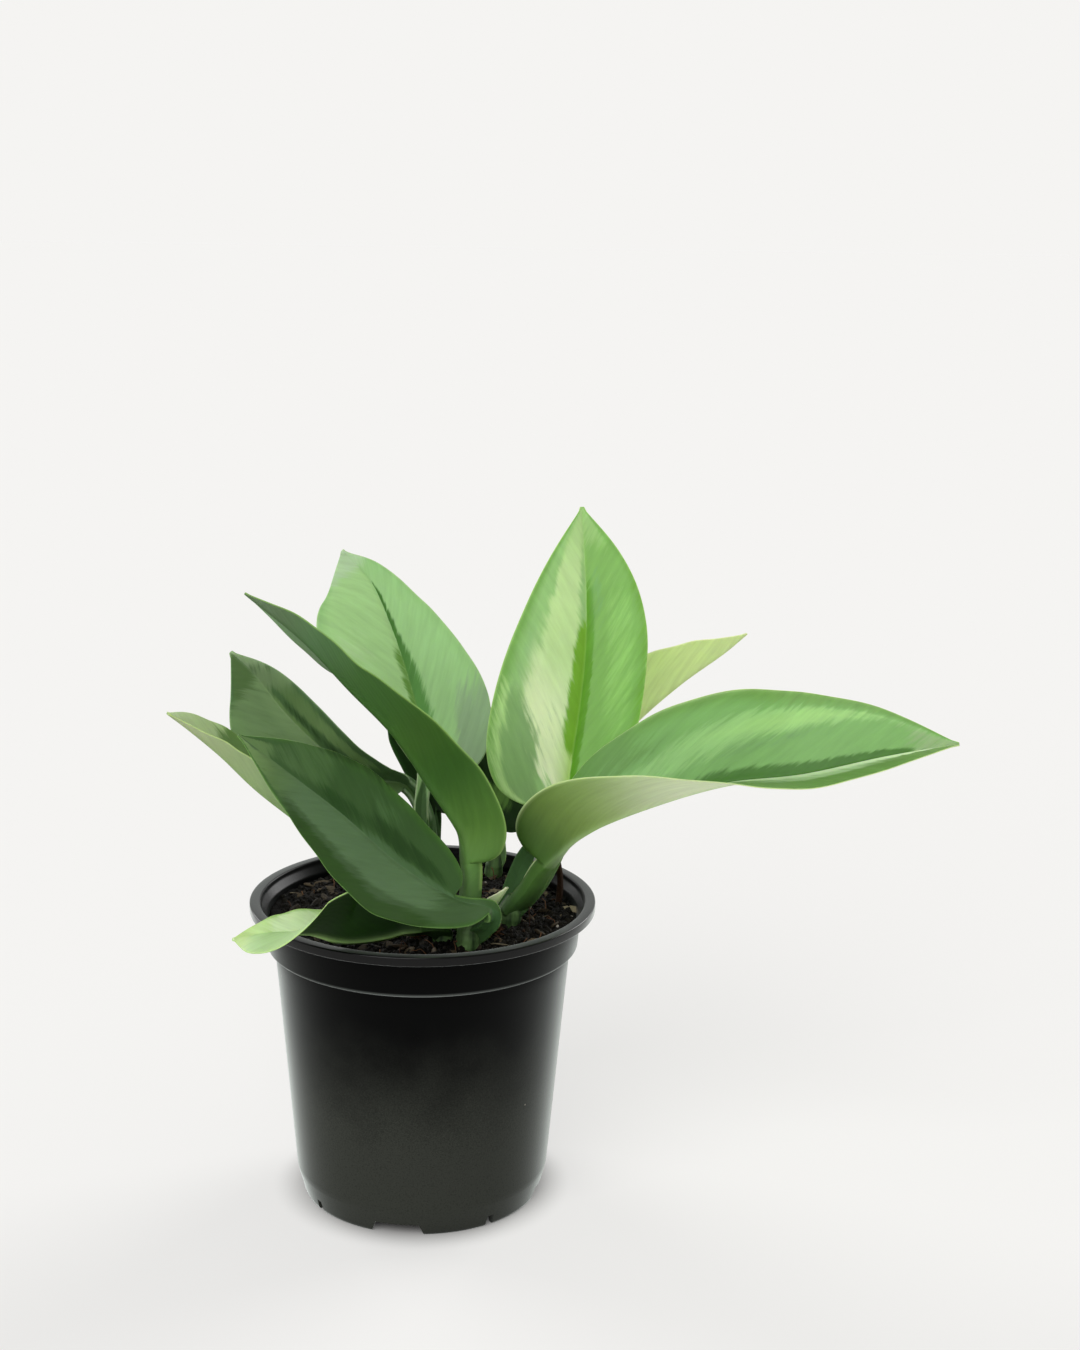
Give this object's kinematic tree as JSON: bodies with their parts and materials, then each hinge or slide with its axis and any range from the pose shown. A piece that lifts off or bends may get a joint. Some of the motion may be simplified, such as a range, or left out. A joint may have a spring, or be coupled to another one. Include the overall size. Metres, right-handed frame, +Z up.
{
  "type": "potted moonlight scindapsus",
  "caption": "Young moonlight scindapsus with arching silvery leaves, grown from short stems in a plain black nursery pot filled with potting mix.",
  "frame": {"origin": "middle of the pot's foot, on the surface that it stands on", "axes": "+Z up, +X to the right of the plant's front, +Y away from it"},
  "size_m": [0.2601, 0.1652, 0.2401],
  "materials": {
    "pot": "satin black, thin-walled moulding",
    "soil": "moist crumbly potting mix with bark and perlite",
    "leaf": "waxy satin leaf, dark green brushed with silver",
    "leaf_light": "waxy satin leaf, pale silvery green",
    "stem": "smooth fleshy stem",
    "dry": "dry and fibrous"
  },
  "bodies": {
    "root": {"pot": "pot", "soil": "soil", "stem_front": "stem", "stem_left": "stem", "stem_right": "stem", "stem_middle": "stem", "stem_back": "stem", "leaf_upright": "leaf_light", "leaf_reaching_right": "leaf", "leaf_behind_right": "leaf_light", "leaf_back_centre": "leaf_light", "leaf_crossing_left": "leaf", "leaf_mid_left": "leaf", "leaf_front_left": "leaf", "leaf_far_left": "leaf_light", "leaf_over_rim": "leaf_light", "leaf_shaded_left": "leaf", "leaf_shaded_centre": "leaf", "sheath": "stem", "dry_stalk": "dry", "cut_vine": "dry", "dry_fibres_front": "dry", "dry_fibres_left": "dry"}
  },
  "joints": []
}
